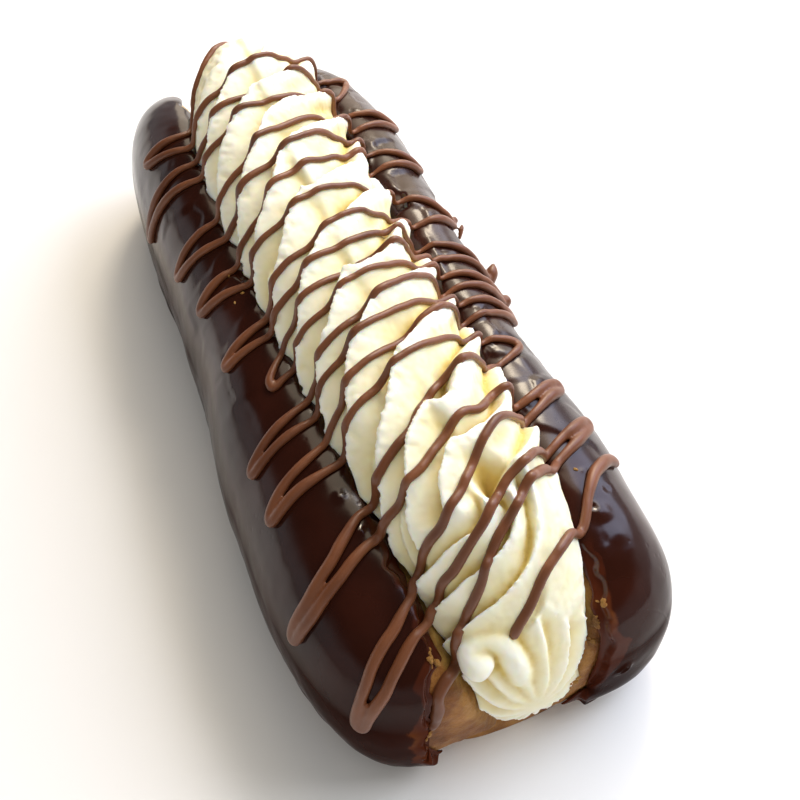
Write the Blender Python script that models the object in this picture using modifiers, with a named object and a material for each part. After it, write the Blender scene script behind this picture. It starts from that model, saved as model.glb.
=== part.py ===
"""Chocolate eclair: a choux bun slit along its top, dark chocolate on both lips, piped cream in the slit.

Frame: origin under the middle of the eclair, +X along it, -Y the left lip, +Y the right lip, +Z up.
Lengths below are in millimetres and are turned into metres when a mesh is made. They are measured from
the slit's middle line, and RECENTRE then moves everything, because the left lip is the wider one.
"""
import math

import bmesh
import bpy
from mathutils import Vector

MM = 0.001                      # metres in a millimetre

# ---- driving dimensions -------------------------------------------------------------------------
RECENTRE = (0.4, 1.25, 0.0)     # brings the middle of the whole eclair over the origin
LONGEST_TIP = 73.7              # the bun reaches this far both ways along X
GROOVE_Z = 5.5                  # height of the slit's bottom above the table
HINGE_INSET = 3.0               # the crust under the slit ends this far short of the tips
HINGE_HALF_WIDTH = 17.0
HINGE_MIDDLE_Z = 1.0
HINGE_BLUNTNESS = 5
HINGE_STATIONS = 14
SLIT_TILT = math.radians(24.0)  # each cut wall leans out this far from upright

GAP = 0.35                      # clearance between touching pieces
COAT_THICKNESS = 1.2            # hard chocolate on the bun
COAT_OUT = GAP + COAT_THICKNESS
EDGE_INSET = 0.4                # the coat's cut edge stands back from the slit's wall by this
SKIRT_Z = 3.4                   # the coat's lower edge, before its waves
SKIRT_WAVES = ((0.7, 7.0, 0.2), (0.5, 3.1, -0.3))   # height, length along X, share of Y
SKIRT_RISE = (9.0, 9.0)         # between the lobes no coat runs: how high it ends, over what width
BLOCK_REACH = 60.0              # how far a cutting block reaches
SLIT_OVERRUN = 10.0             # and how far past the lobe's tips
TABLE_BOX = ((-90.0, -60.0, -20.0), (90.0, 60.0, 0.0))
SKIRT_BOX = ((-90.0, -45.0, -10.0), (90.0, 45.0, 0.0))   # its top then takes the skirt's waves
SKIRT_COLUMNS = 30
SKIRT_ROWS = 14

# Each lobe: side of the slit, places of its two tips, crown height, and its half-width along X.
LOBES = {
    "left": {"side": -1.0, "near_tip": 72.6, "far_tip": -73.7, "crown": 34.3,
             "widths": ((-74, 27.4), (-45, 27.0), (-24, 26.8), (-10, 27.6), (26, 31.3), (46, 32.7),
                        (74, 32.6))},
    "right": {"side": 1.0, "near_tip": 72.8, "far_tip": -71.6, "crown": 34.3,
              "widths": ((-74, 26.6), (-56, 26.0), (-38, 26.3), (-14, 25.3), (14, 25.4), (44, 29.6),
                         (70, 34.0))},
}
LOBE_MIDDLE = (16.0, 14.5)      # across and up, where a lobe's section is measured from
LOBE_POLE = (9.0, 10.5)         # across and up, where a lobe's end closes
BLUNTNESS = 4.0                 # power of the end domes: higher is blunter
ROUNDNESS = 2.3                 # power of the section's curve: 2 is round, higher is squarer
LUMP_HEIGHT = 0.010             # share of its size that the crust swells and sinks by
LUMP_LENGTHS = (9.0, 23.0)
CORNER_SHARPNESS = 9.0          # how tightly the section turns from wall to crown and to the base
SINK = 0.8                      # the rounded bottom goes this far below the table before it is cut flat

LOBE_STATIONS = 24
LOBE_SIDES = 22

# ---- piped cream --------------------------------------------------------------------------------
CREAM_START = -64.5
CREAM_END = 74.0
CREAM_MIDDLE = (-1.5, 34.5)     # across and up, the line that the cream lies round
CREAM_DRIFT = 2.6               # it lies this much further right at both ends
NEAR_DRIFT_LENGTH = 70.0
FAR_DRIFT_LENGTH = 30.0
CREAM_HALF_WIDTH = 15.6
CREAM_HALF_HEIGHT = 15.4
NEAR_BEND = (46.0, 28.0, 20.5)  # where the line starts to bend down, how long the bend is, how far it drops
FAR_BEND = (-40.5, 24.0, 1.0)
PLEAT_EDGES = (-62.0, -51.5, -41.5, -31.0, -21.5, -12.5, -2.0, 8.0, 17.5, 28.0, 37.0, 46.0, 56.0, 66.0)
PLEAT_DEPTHS = (4.6, 6.4, 5.6, 6.8, 5.8, 4.6, 6.8, 5.4, 6.8, 5.4, 6.8, 6.0, 5.0, 5.0)
PLEAT_LEAN = 1.05               # how much nearer a pleat runs per millimetre down its left side
RIGHT_LEAN = 0.79               # and per millimetre down its right side
PLEAT_TUCK = 1.8                # a pleat's edge hangs over the one before by about this much
PLEAT_FACE = 0.74               # share of a pleat that is its broad face
PLEAT_BULGE = 1.5               # how full that face is
CREST_STEP = 1.9                # the pleats' edges jog by this much where they cross the top
CREST_WIDTH = 3.0
PLEAT_SWAY = (2.4, 11.5, 9.0)   # the pleats sway along X by this much, over these lengths along and across
RIGHT_FADE = 8.0                # what differs on the right comes in over this width
RIGHT_SHALLOWNESS = 0.45        # the folds are this much shallower on the right
RING_MIDDLE = (54.0, -6.5)      # the last coil goes round here: along X, and round the cream from its top
RING_EDGES = (0.0, 4.8, 8.5, 12.1, 16.5, 24.0)
RING_DEPTHS = (2.0, 3.2, 3.6, 4.2, 3.0, 3.0)
RING_FACE = 0.66
RING_BULGE = 1.25
RING_STRETCH = (0.15, 0.84)     # the rings are oval: shares of the distance to the left and to the right
RING_TUCK = 1.1
RING_JOIN = (50.5, 0.12, 4.5)   # pleats give way to rings here along X, leaning, over this length
POCKET = (51.8, 2.2, 4.6, 4.2)  # a hollow by the last coil: along X, round the cream, its size and depth
FAN_START = 68.2                # from here the flutes fan down the front
FAN_PITCH = 7.6
FAN_DEPTH = 3.0
FAN_LEAN = 0.4
FAN_FACE = 0.72
FAN_BULGE = 1.3
CURL = ((69.6, 1.8, 16.8), (71.2, -1.4, 22.2), (70.8, -2.3, 25.8), (69.2, -3.2, 28.4), (67.8, -5.4, 29.6),
        (67.8, -8.0, 28.7), (69.8, -8.2, 27.0), (72.0, -6.2, 26.6))
CURL_THICKNESS = (2.8, 2.4, 2.1, 1.8, 1.7, 1.8, 2.4, 2.8)
CURL_STEPS = 4
CURL_SIDES = 12
CORE_FLOOR = 6.0                # the cream pressed into the slit reaches down to here
CORE_HALF_WIDTH = 13.0          # wider than the slit, whose walls trim it
CORE_BLUNTNESS = 6
CORE_STATIONS = 24
CORE_ENDS_Z = (20.0, 12.0)
CORE_MARGIN = 1.5               # it ends this far short of the pleated cream
BODY_STATIONS = 210
BODY_SIDES = 84
CREAM_VOXEL = 0.9
CREAM_KEEP = 0.055              # share of the remeshed triangles that is kept

COLOURS = {
    "choux": (0.50, 0.24, 0.07),
    "cream": (0.86, 0.80, 0.58),
    "coat": (0.035, 0.010, 0.006),
}


# ---- helpers ------------------------------------------------------------------------------------
def collection(name):
    made = bpy.data.collections.new(name)
    bpy.context.scene.collection.children.link(made)
    return made


def principled(name, colour, roughness):
    material = bpy.data.materials.new(name)
    material.use_nodes = True
    shader = material.node_tree.nodes["Principled BSDF"]
    shader.inputs["Base Color"].default_value = (*colour, 1.0)
    shader.inputs["Roughness"].default_value = roughness
    shader.inputs["Metallic"].default_value = 0.0
    material.diffuse_color = (*colour, 1.0)
    return material


def mesh_object(name, points, faces, group, material=None):
    """A closed mesh from points in millimetres, its faces turned outward."""
    mesh = bpy.data.meshes.new(name)
    mesh.from_pydata([Vector(p) * MM for p in points], [], faces)
    work = bmesh.new()
    work.from_mesh(mesh)
    bmesh.ops.recalc_face_normals(work, faces=work.faces)
    work.to_mesh(mesh)
    work.free()
    mesh.shade_smooth()
    made = bpy.data.objects.new(name, mesh)
    if material:
        mesh.materials.append(material)
    group.objects.link(made)
    return made


def as_cutter(thing):
    thing.hide_render = True
    thing.display_type = "WIRE"
    return thing


def copy_lifted(source, name, lift, group, material=None):
    """A copy of a lobe grown along its normals by lift."""
    made = source.copy()
    made.data = source.data.copy()
    made.name = name
    if material:
        made.data.materials.clear()
        made.data.materials.append(material)
    group.objects.link(made)
    grow = made.modifiers.new("Grow", "DISPLACE")
    grow.strength = lift * MM
    grow.mid_level = 0.0
    return made


def boolean(target, operand, operation):
    step = target.modifiers.new(f"{operation.title()} {operand.name}", "BOOLEAN")
    step.operation = operation
    step.object = operand
    step.solver = "EXACT"


def smooth_step(value):
    held = min(1.0, max(0.0, value))
    return held * held * (3.0 - 2.0 * held)


# ---- bun ----------------------------------------------------------------------------------------
def end_closing(lobe, x):
    """Size of a section at x as a share of its full size: 1 along the middle, 0 at both tips."""
    middle = 0.5 * (lobe["near_tip"] + lobe["far_tip"])
    half = 0.5 * (lobe["near_tip"] - lobe["far_tip"])
    return max(0.0, 1.0 - abs((x - middle) / half) ** BLUNTNESS) ** (1.0 / BLUNTNESS)


def lobe_half_width(lobe, x):
    """Half-width read from the lobe's own few widths, eased from each to the next."""
    widths = lobe["widths"]
    for (here, width), (there, next_width) in zip(widths, widths[1:]):
        if x <= there:
            return width + (next_width - width) * smooth_step((x - here) / (there - here))
    return widths[-1][1]


def lobe_reach(lobe, x, angle):
    """Distance from the lobe's middle to its skin, along an angle up from straight outward."""
    out, up = math.cos(angle), math.sin(angle)
    half_across = lobe_half_width(lobe, x) - LOBE_MIDDLE[0]
    half_up = lobe["crown"] - LOBE_MIDDLE[1]
    if out < 0.0:
        half_across *= 2.0                       # the cut wall, not the curve, ends the lobe inward
    rounded = ((abs(out) / half_across) ** ROUNDNESS + (abs(up) / half_up) ** ROUNDNESS) ** (1.0 / ROUNDNESS)
    limits = [rounded]
    # the cut wall: a plane through the slit's bottom that leans outward
    wall_normal = (-math.cos(SLIT_TILT), math.sin(SLIT_TILT))
    wall_distance = (LOBE_MIDDLE[0] * math.cos(SLIT_TILT)
                     - (LOBE_MIDDLE[1] - GROOVE_Z) * math.sin(SLIT_TILT))
    toward_wall = out * wall_normal[0] + up * wall_normal[1]
    if toward_wall > 0.0:
        limits.append(toward_wall / wall_distance)
    if up < 0.0:
        limits.append(-up / (LOBE_MIDDLE[1] + SINK))
    total = sum(limit ** CORNER_SHARPNESS for limit in limits)
    short, long = LUMP_LENGTHS
    lumps = 1.0 + LUMP_HEIGHT * math.sin(x / short + 2.0 * angle) * math.sin(x / long + lobe["side"])
    return lumps * total ** (-1.0 / CORNER_SHARPNESS)


def lobe_point(lobe, x, angle):
    reach = lobe_reach(lobe, x, angle)
    size = end_closing(lobe, x)
    across = LOBE_MIDDLE[0] + reach * math.cos(angle)
    up = LOBE_MIDDLE[1] + reach * math.sin(angle)
    across = LOBE_POLE[0] + size * (across - LOBE_POLE[0])
    up = LOBE_POLE[1] + size * (up - LOBE_POLE[1])
    return (x, lobe["side"] * across, up)


def lofted(points_at, stations, sides, first, last):
    """Rings of points joined into a closed skin with a point at each end."""
    points = [first]
    for station in stations:
        points += [points_at(station, 2.0 * math.pi * k / sides) for k in range(sides)]
    points.append(last)
    faces = [(0, 1 + (k + 1) % sides, 1 + k) for k in range(sides)]
    for ring in range(len(stations) - 1):
        here = 1 + ring * sides
        for k in range(sides):
            step = (k + 1) % sides
            faces.append((here + k, here + step, here + sides + step, here + sides + k))
    here = 1 + (len(stations) - 1) * sides
    faces += [(len(points) - 1, here + k, here + (k + 1) % sides) for k in range(sides)]
    return points, faces


def eased_stations(first, last, count):
    """Stations that crowd toward both ends, where the skin curves most."""
    middle, half = 0.5 * (first + last), 0.5 * (last - first)
    return [middle - half * math.cos(math.pi * (k + 0.5) / count) for k in range(count)]


def build_lobe(name, lobe, group):
    stations = eased_stations(lobe["far_tip"], lobe["near_tip"], LOBE_STATIONS)
    pole_y, pole_z = lobe["side"] * LOBE_POLE[0], LOBE_POLE[1]
    points, faces = lofted(lambda x, angle: lobe_point(lobe, x, angle), stations, LOBE_SIDES,
                           (lobe["far_tip"], pole_y, pole_z), (lobe["near_tip"], pole_y, pole_z))
    return mesh_object(name, points, faces, group)


def build_hinge(group):
    """The uncut bottom crust that still joins the two lobes under the slit."""
    half_length = LONGEST_TIP - HINGE_INSET

    def hinge_point(x, angle):
        size = max(0.0, 1.0 - abs(x / half_length) ** HINGE_BLUNTNESS) ** (1.0 / HINGE_BLUNTNESS)
        return (x, HINGE_HALF_WIDTH * size * math.cos(angle),
                HINGE_MIDDLE_Z + (GROOVE_Z - HINGE_MIDDLE_Z) * size * math.sin(angle))

    stations = eased_stations(-half_length, half_length, HINGE_STATIONS)
    points, faces = lofted(hinge_point, stations, HINGE_STATIONS,
                           (-half_length, 0.0, HINGE_MIDDLE_Z), (half_length, 0.0, HINGE_MIDDLE_Z))
    return mesh_object("hinge", points, faces, group)


# ---- cream --------------------------------------------------------------------------------------
def middle_line(x):
    """The line that the cream lies round, across and up: bent down at both ends, and drifting right."""
    near = max(0.0, (x - NEAR_BEND[0]) / NEAR_BEND[1])
    far = max(0.0, (FAR_BEND[0] - x) / FAR_BEND[1])
    drift = smooth_step(x / NEAR_DRIFT_LENGTH) + smooth_step((-x - FAR_DRIFT_LENGTH) / FAR_DRIFT_LENGTH)
    return (CREAM_MIDDLE[0] + CREAM_DRIFT * drift,
            CREAM_MIDDLE[1] - NEAR_BEND[2] * near ** 2 - FAR_BEND[2] * far ** 2)


def saw(part, face, bulge):
    """1 at a flute's sharp edge, 0 in the fold: a broad face over a share of it, then a short steep side."""
    part -= math.floor(part)
    if part < face:
        return 1.0 - (part / face) ** bulge
    return (part - face) / (1.0 - face)


def read_along(value, marks):
    """How far value has come along a row of marks, counted in marks."""
    held = min(max(value, marks[0]), marks[-1])
    k = min(sum(mark <= held for mark in marks), len(marks) - 1)
    return k - 1 + (held - marks[k - 1]) / (marks[k] - marks[k - 1])


def depth_at(phase, depths):
    k = min(int(phase), len(depths) - 2)
    return depths[k] + (depths[k + 1] - depths[k]) * (phase - k)


def pleats(x, aside):
    """How far the skin lies in, and how far a pleat's edge hangs back along X and toward the left."""
    where = x + PLEAT_LEAN * min(aside, 0.0) + RIGHT_LEAN * max(aside, 0.0)
    sway, along, across = PLEAT_SWAY
    where += sway * math.sin(x / along) * math.sin(aside / across)
    where -= CREST_STEP * smooth_step(aside / CREST_WIDTH + 0.5)
    phase = read_along(where, PLEAT_EDGES)
    rise = saw(phase, PLEAT_FACE, PLEAT_BULGE)
    on_right = smooth_step(aside / RIGHT_FADE)
    tuck = PLEAT_TUCK * rise * (1.0 - 0.5 * on_right)
    return depth_at(phase, PLEAT_DEPTHS) * (1.0 - RIGHT_SHALLOWNESS * on_right) * (1.0 - rise), tuck, tuck


def rings(x, aside):
    """The same over the near end, where the last coil turns: its flutes run in rings."""
    ahead = x - RING_MIDDLE[0]
    across = (aside - RING_MIDDLE[1]) * RING_STRETCH[aside > RING_MIDDLE[1]]
    away = math.hypot(ahead, across)
    phase = read_along(away, RING_EDGES)
    rise = saw(phase, RING_FACE, RING_BULGE)
    overhang = RING_TUCK * rise / max(away, 2.0)
    return depth_at(phase, RING_DEPTHS) * (1.0 - rise), overhang * ahead, overhang * across


def pleated_point(x, angle):
    """Cream piped in tight overlapping coils, seen as one body with pleats slanting over it."""
    round_it = (angle + math.pi) % (2.0 * math.pi) - math.pi      # 0 on top, positive toward the right lip
    aside = CREAM_HALF_WIDTH * round_it
    middle_x, half = 0.5 * (CREAM_END + CREAM_START), 0.5 * (CREAM_END - CREAM_START)
    size = max(0.0, 1.0 - abs((x - middle_x) / half) ** BLUNTNESS) ** (1.0 / BLUNTNESS)
    join, lean, length = RING_JOIN
    near = smooth_step((x - join + lean * aside) / length)
    inward, back, left = (a + (b - a) * near for a, b in zip(pleats(x, aside), rings(x, aside)))
    pocket = math.hypot(x - POCKET[0], aside - POCKET[1]) / POCKET[2]
    inward += POCKET[3] * max(0.0, 1.0 - pocket ** 2) ** 2
    # down the front the flutes fan out
    fanned = smooth_step(x - FAN_START)
    flute = saw((CREAM_DRIFT - aside + FAN_LEAN * (x - FAN_START)) / FAN_PITCH, FAN_FACE, FAN_BULGE)
    inward *= 1.0 - fanned
    flutes = FAN_DEPTH * (1.0 - flute) * fanned
    x -= size * back * (1.0 - fanned)
    round_it -= size * left * (1.0 - fanned) / CREAM_HALF_WIDTH
    middle_y, middle_z = middle_line(x)
    width = max(0.05, (CREAM_HALF_WIDTH - inward) * size - flutes)
    height = max(0.05, (CREAM_HALF_HEIGHT - inward) * size - flutes)
    return (x, middle_y + width * math.sin(round_it), middle_z + height * math.cos(round_it))


def eased_between(knots, k, share):
    """A place between two knots on a smooth curve through all of them."""
    before, after = knots[max(k - 1, 0)], knots[min(k + 2, len(knots) - 1)]
    start_pull, end_pull = 0.5 * (knots[k + 1] - before), 0.5 * (after - knots[k])
    blend = smooth_step(share)
    place = knots[k] * (1.0 - blend) + knots[k + 1] * blend
    place += start_pull * (share * (1.0 - share) ** 2)
    return place - end_pull * (share ** 2 * (1.0 - share))


def curl_skin():
    """The rope's own end, curled up over the near end."""
    knots = [Vector(knot) for knot in CURL]
    path, radii = [], []
    for k in range(len(knots) - 1):
        for step in range(CURL_STEPS):
            share = step / CURL_STEPS
            path.append(eased_between(knots, k, share))
            radii.append(CURL_THICKNESS[k] + (CURL_THICKNESS[k + 1] - CURL_THICKNESS[k]) * share)

    def ring_point(k, angle):
        ahead = (path[min(k + 1, len(path) - 1)] - path[max(k - 1, 0)]).normalized()
        side = ahead.orthogonal().normalized()
        up = ahead.cross(side)
        return path[k] + (side * math.cos(angle) + up * math.sin(angle)) * radii[k]

    ending = path[-1] + (path[-1] - path[-2]).normalized() * radii[-1]
    return lofted(ring_point, range(len(path)), CURL_SIDES, path[0], ending)


def core_skin():
    """Cream pressed down into the slit, wider than it so that the bun's walls trim it."""
    first, last = CREAM_START + CORE_MARGIN, CREAM_END - CORE_MARGIN
    middle_x, half_length = 0.5 * (last + first), 0.5 * (last - first)

    def core_point(x, angle):
        size = max(0.0, 1.0 - abs((x - middle_x) / half_length) ** CORE_BLUNTNESS) ** (1.0 / CORE_BLUNTNESS)
        middle_y, middle_z = middle_line(x)
        half_height = 0.5 * (middle_z - CORE_FLOOR)
        return (x, middle_y + CORE_HALF_WIDTH * size * math.cos(angle),
                CORE_FLOOR + half_height + half_height * size * math.sin(angle))

    far_end = (first, middle_line(first)[0], CORE_ENDS_Z[0])
    near_end = (last, middle_line(last)[0], CORE_ENDS_Z[1])
    return lofted(core_point, eased_stations(first, last, CORE_STATIONS), CORE_STATIONS, far_end, near_end)


def build_cream(group, material):
    body = lofted(pleated_point, eased_stations(CREAM_START, CREAM_END, BODY_STATIONS), BODY_SIDES,
                  (CREAM_START, *middle_line(CREAM_START)), (CREAM_END, *middle_line(CREAM_END)))
    points, faces = [], []
    for more_points, more_faces in (body, curl_skin(), core_skin()):
        shift = len(points)
        points += more_points
        faces += [tuple(shift + index for index in face) for face in more_faces]
    cream = mesh_object("cream", points, faces, group, material)
    skin = cream.modifiers.new("One skin", "REMESH")
    skin.mode = "VOXEL"
    skin.voxel_size = CREAM_VOXEL * MM
    lighter = cream.modifiers.new("Fewer faces", "DECIMATE")
    lighter.ratio = CREAM_KEEP
    return cream


# ---- assembly -----------------------------------------------------------------------------------
def box_between(name, low, high, group):
    low, high = Vector(low) * MM, Vector(high) * MM
    work = bmesh.new()
    bmesh.ops.create_cube(work, size=1.0)
    for vertex in work.verts:
        vertex.co = (low + high) / 2.0 + vertex.co * (high - low)
    mesh = bpy.data.meshes.new(name)
    work.to_mesh(mesh)
    work.free()
    made = bpy.data.objects.new(name, mesh)
    group.objects.link(made)
    return made


def slit_block(name, lobe, inset, group):
    """Everything on the slit's side of a lobe's cut wall, its face moved into the lobe by inset."""
    lean = math.tan(SLIT_TILT)

    def block_corner(x, angle):
        size = end_closing(lobe, x)
        foot_across = LOBE_POLE[0] * (1.0 - size) + inset / math.cos(SLIT_TILT)
        foot_up = LOBE_POLE[1] + size * (GROOVE_Z - LOBE_POLE[1])
        up = -BLOCK_REACH if math.sin(angle) < 0.0 else BLOCK_REACH
        across = foot_across + (up - foot_up) * lean if math.cos(angle) > 0.0 else -BLOCK_REACH
        return (x, lobe["side"] * across, up)

    far_end, near_end = lobe["far_tip"] - SLIT_OVERRUN, lobe["near_tip"] + SLIT_OVERRUN
    stations = [far_end] + eased_stations(lobe["far_tip"], lobe["near_tip"], LOBE_STATIONS) + [near_end]
    points, faces = lofted(lambda x, angle: block_corner(x, angle + 0.25 * math.pi), stations, 4,
                           (far_end, -lobe["side"] * 0.5 * BLOCK_REACH, 0.0),
                           (near_end, -lobe["side"] * 0.5 * BLOCK_REACH, 0.0))
    return as_cutter(mesh_object(name, points, faces, group))


def skirt_height(x, y):
    """How high above the table the coat ends: wavy, and higher between the lobes, where none runs."""
    waves = sum(height * math.sin(x / length + share * y) for height, length, share in SKIRT_WAVES)
    rise, width = SKIRT_RISE
    return SKIRT_Z + waves + rise * math.exp(-((y + 1.0) / width) ** 2)


def build_skirt_block(group):
    """Everything below the coat's lower edge: a grid extruded down, its top shaped in waves."""
    low, high = SKIRT_BOX
    work = bmesh.new()
    bmesh.ops.create_grid(work, x_segments=SKIRT_COLUMNS, y_segments=SKIRT_ROWS, size=1.0)
    for vertex in work.verts:
        vertex.co.x *= high[0] * MM
        vertex.co.y *= high[1] * MM
        vertex.co.z = skirt_height(vertex.co.x / MM, vertex.co.y / MM) * MM
    grown = bmesh.ops.extrude_face_region(work, geom=work.faces[:])
    for item in grown["geom"]:
        if isinstance(item, bmesh.types.BMVert):
            item.co.z = low[2] * MM
    bmesh.ops.recalc_face_normals(work, faces=work.faces)
    mesh = bpy.data.meshes.new("skirt_block")
    work.to_mesh(mesh)
    work.free()
    made = bpy.data.objects.new("skirt_block", mesh)
    group.objects.link(made)
    return as_cutter(made)


def main():
    for old in list(bpy.data.objects):
        bpy.data.objects.remove(old, do_unlink=True)
    parts = collection("Chocolate eclair")
    cutters = collection("Cutters")
    choux = principled("Choux pastry", COLOURS["choux"], 0.7)
    coat_material = principled("Dark chocolate", COLOURS["coat"], 0.3)
    cream_material = principled("Whipped cream", COLOURS["cream"], 0.6)

    shapes = {name: as_cutter(build_lobe(f"{name}_lobe", lobe, cutters)) for name, lobe in LOBES.items()}
    hinge = as_cutter(build_hinge(cutters))
    table = as_cutter(box_between("table", *TABLE_BOX, cutters))
    skirt = build_skirt_block(cutters)

    bun = copy_lifted(shapes["left"], "choux_bun", 0.0, parts, choux)
    bun.hide_render = False
    bun.display_type = "TEXTURED"
    boolean(bun, shapes["right"], "UNION")
    boolean(bun, hinge, "UNION")
    boolean(bun, table, "DIFFERENCE")

    cream = build_cream(parts, cream_material)
    for name, lobe in LOBES.items():
        inner = as_cutter(copy_lifted(shapes[name], f"{name}_lobe_clearance", GAP, cutters))
        coat = copy_lifted(shapes[name], f"chocolate_coat_{name}", COAT_OUT, parts, coat_material)
        coat.hide_render = False
        coat.display_type = "TEXTURED"
        boolean(coat, inner, "DIFFERENCE")
        boolean(coat, slit_block(f"{name}_slit", lobe, EDGE_INSET, cutters), "DIFFERENCE")
        boolean(coat, skirt, "DIFFERENCE")
        outer = as_cutter(copy_lifted(shapes[name], f"{name}_coat_clearance", COAT_OUT + GAP, cutters))
        boolean(outer, slit_block(f"{name}_slit_clearance", lobe, EDGE_INSET - GAP, cutters), "DIFFERENCE")
        boolean(cream, inner, "DIFFERENCE")
        boolean(cream, outer, "DIFFERENCE")
    hinge_clearance = as_cutter(copy_lifted(hinge, "hinge_clearance", GAP, cutters))
    boolean(cream, hinge_clearance, "DIFFERENCE")

    eclair = bpy.data.objects.new("eclair", None)
    eclair.location = Vector(RECENTRE) * MM
    for thing in list(parts.objects) + list(cutters.objects):
        thing.parent = eclair
    parts.objects.link(eclair)


main()
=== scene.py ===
"""The looks of a cream eclair: choux bun, dark chocolate on both lips, piped cream, milk chocolate drizzle.

Frame: origin under the middle of the eclair, +X toward the end where the cream curls up, -Y the left lip,
+Y the right lip, +Z up. Shapes are worked out in millimetres from the slit's middle line, turned into
metres in set_points, and moved together by RECENTRE, because the left lip is the wider one.
"""
import math
import random

import bpy
import numpy as np
from mathutils import Matrix, Vector, noise
from mathutils.bvhtree import BVHTree


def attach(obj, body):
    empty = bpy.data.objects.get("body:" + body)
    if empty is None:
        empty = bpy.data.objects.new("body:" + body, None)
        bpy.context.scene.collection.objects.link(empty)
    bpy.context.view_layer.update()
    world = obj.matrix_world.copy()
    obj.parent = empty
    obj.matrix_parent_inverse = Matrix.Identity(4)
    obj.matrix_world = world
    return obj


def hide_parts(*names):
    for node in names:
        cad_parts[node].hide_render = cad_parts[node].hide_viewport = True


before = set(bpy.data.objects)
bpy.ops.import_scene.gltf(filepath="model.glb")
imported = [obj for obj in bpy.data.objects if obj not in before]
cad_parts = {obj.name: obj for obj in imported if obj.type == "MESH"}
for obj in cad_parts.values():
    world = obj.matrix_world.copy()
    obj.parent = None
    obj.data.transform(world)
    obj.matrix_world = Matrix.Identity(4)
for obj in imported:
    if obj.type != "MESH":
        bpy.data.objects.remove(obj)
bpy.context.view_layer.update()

MM = 0.001
TAU = 2.0 * math.pi
RECENTRE = Vector((0.4, 1.25, 0.0)) * MM    # brings the middle of the whole eclair over the origin

# ---- bun ----------------------------------------------------------------------------------------
NEAR_TIP = 73.7
GROOVE_Z = 5.5
HINGE_INSET = 3.0
HINGE_HALF_WIDTH = 17.0
HINGE_MIDDLE_Z = 1.0
SLIT_TILT = math.radians(24.0)
LOBES = {
    "left": {"side": -1.0, "near_tip": 72.6, "far_tip": -73.7, "crown": 34.3,
             "widths": ((-74, 27.4), (-45, 27.0), (-24, 26.8), (-10, 27.6), (26, 31.3), (46, 32.7),
                        (74, 32.6))},
    "right": {"side": 1.0, "near_tip": 72.8, "far_tip": -71.6, "crown": 34.3,
              "widths": ((-74, 26.6), (-56, 26.0), (-38, 26.3), (-14, 25.3), (14, 25.4), (44, 29.6),
                         (70, 34.0))},
}
LOBE_MIDDLE = (16.0, 14.5)
LOBE_POLE = (9.0, 10.5)
BLUNTNESS = 4.0
ROUNDNESS = 2.3
CORNER_SHARPNESS = 9.0
SINK = 0.8
BUN_GRAIN = 0.62                # size of the cells that the bun's three skins are joined by
CRUST_LAYERS = ((0.30, 5.0, 3.0), (0.22, 2.2, 8.0), (0.14, 1.1, 5.0))    # unevenness: height, lump size, seed
CRUST_SUNK = 0.15               # the rough crust lies this much in, so that its lumps stay within the size
CRUMB_ENDS = 67.5               # past this X the baked crust turns in over the cut walls

# ---- chocolate coats ----------------------------------------------------------------------------
COAT_GAP = 0.12                 # between the crust and the chocolate on it
COAT_THICKNESS = 1.25
FILM_THICKNESS = 0.35           # where the chocolate ran thin over the near ends
RIM_RADIUS = 0.7
EDGE_INSET = 0.5
SKIRT_Z = 3.0
# places along the coats' lower edges that end higher or run lower: X, Y, reach, change in height
SKIRT_MARKS = ((68.0, -27.0, 5.5, 4.5), (73.4, -19.8, 2.6, -2.8), (74.5, -14.0, 3.0, 3.0),
               (75.0, 12.0, 3.5, 2.5), (-72.0, 18.0, 6.0, 3.0), (-60.0, -25.0, 7.0, 2.5),
               (20.0, 27.0, 9.0, 2.0))
DRIP = (73.4, -19.8, 2.6, 0.9)  # a drop at the lower edge: X, Y, reach, height
LOWER_BEAD = (0.45, 2.0, 2.6)   # thicker near its lower edge: by this much, this far up, this reach
EDGE_SEARCH = 40.0              # degrees up from straight outward, where the search for both edges starts
COAT_SIDES, COAT_RINGS = 252, 380
COAT_LAYERS = ((0.20, 13.0, 1.0), (0.10, 5.0, 9.0), (0.04, 2.2, 4.0))    # unevenness, as the crust's
SATIN = (40.0, 14.0)            # the right coat is satin up to this X, fading over this length
BARE_NEAR_LEFT = (66.5, 3.5, 3.4, 0.30)     # bare crust: from X, easing in over, how wide, widening
# the chocolate's strip beside the slit that is only a film: from X on, and how wide
FILM_STRIPS = {"left": (33.0, 1.2), "right": (58.0, 1.6)}
# where each coat set in cracked, slightly tilted plates: from X to X, a plate's width, its step and its tilt
PLATES = {"left": (-50.0, 26.0, 8.0, 0.34, 0.12), "right": (-70.0, 49.0, 6.0, 0.16, 0.26)}
# short cracks, as points on the coat
CRACKS = {"left": (((27.2, -32.0, 20.3), (30.4, -30.7, 25.2), (34.0, -25.6, 32.3)),
                   ((72.0, -19.5, 22.6), (72.3, -21.0, 18.5), (72.6, -22.2, 15.2)),
                   ((51.0, -32.5, 18.5), (54.0, -32.3, 21.0))),
          "right": (((74.0, 13.0, 17.0), (73.4, 17.0, 19.5), (72.5, 19.0, 21.0)),)}
# blisters and burst bubbles: X, Y, reach, height
BLISTERS = {"left": ((39.5, -17.6, 1.3, 0.4), (46.0, -17.0, 1.1, 0.35), (-8.0, -20.0, 1.6, 0.35)),
            "right": ((55.8, 18.6, 2.6, 0.45), (54.9, 17.9, 0.8, -0.40), (59.5, 19.4, 2.4, 0.15),
                      (48.9, 19.3, 0.8, 0.3), (52.4, 21.4, 0.8, -0.25))}

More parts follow.
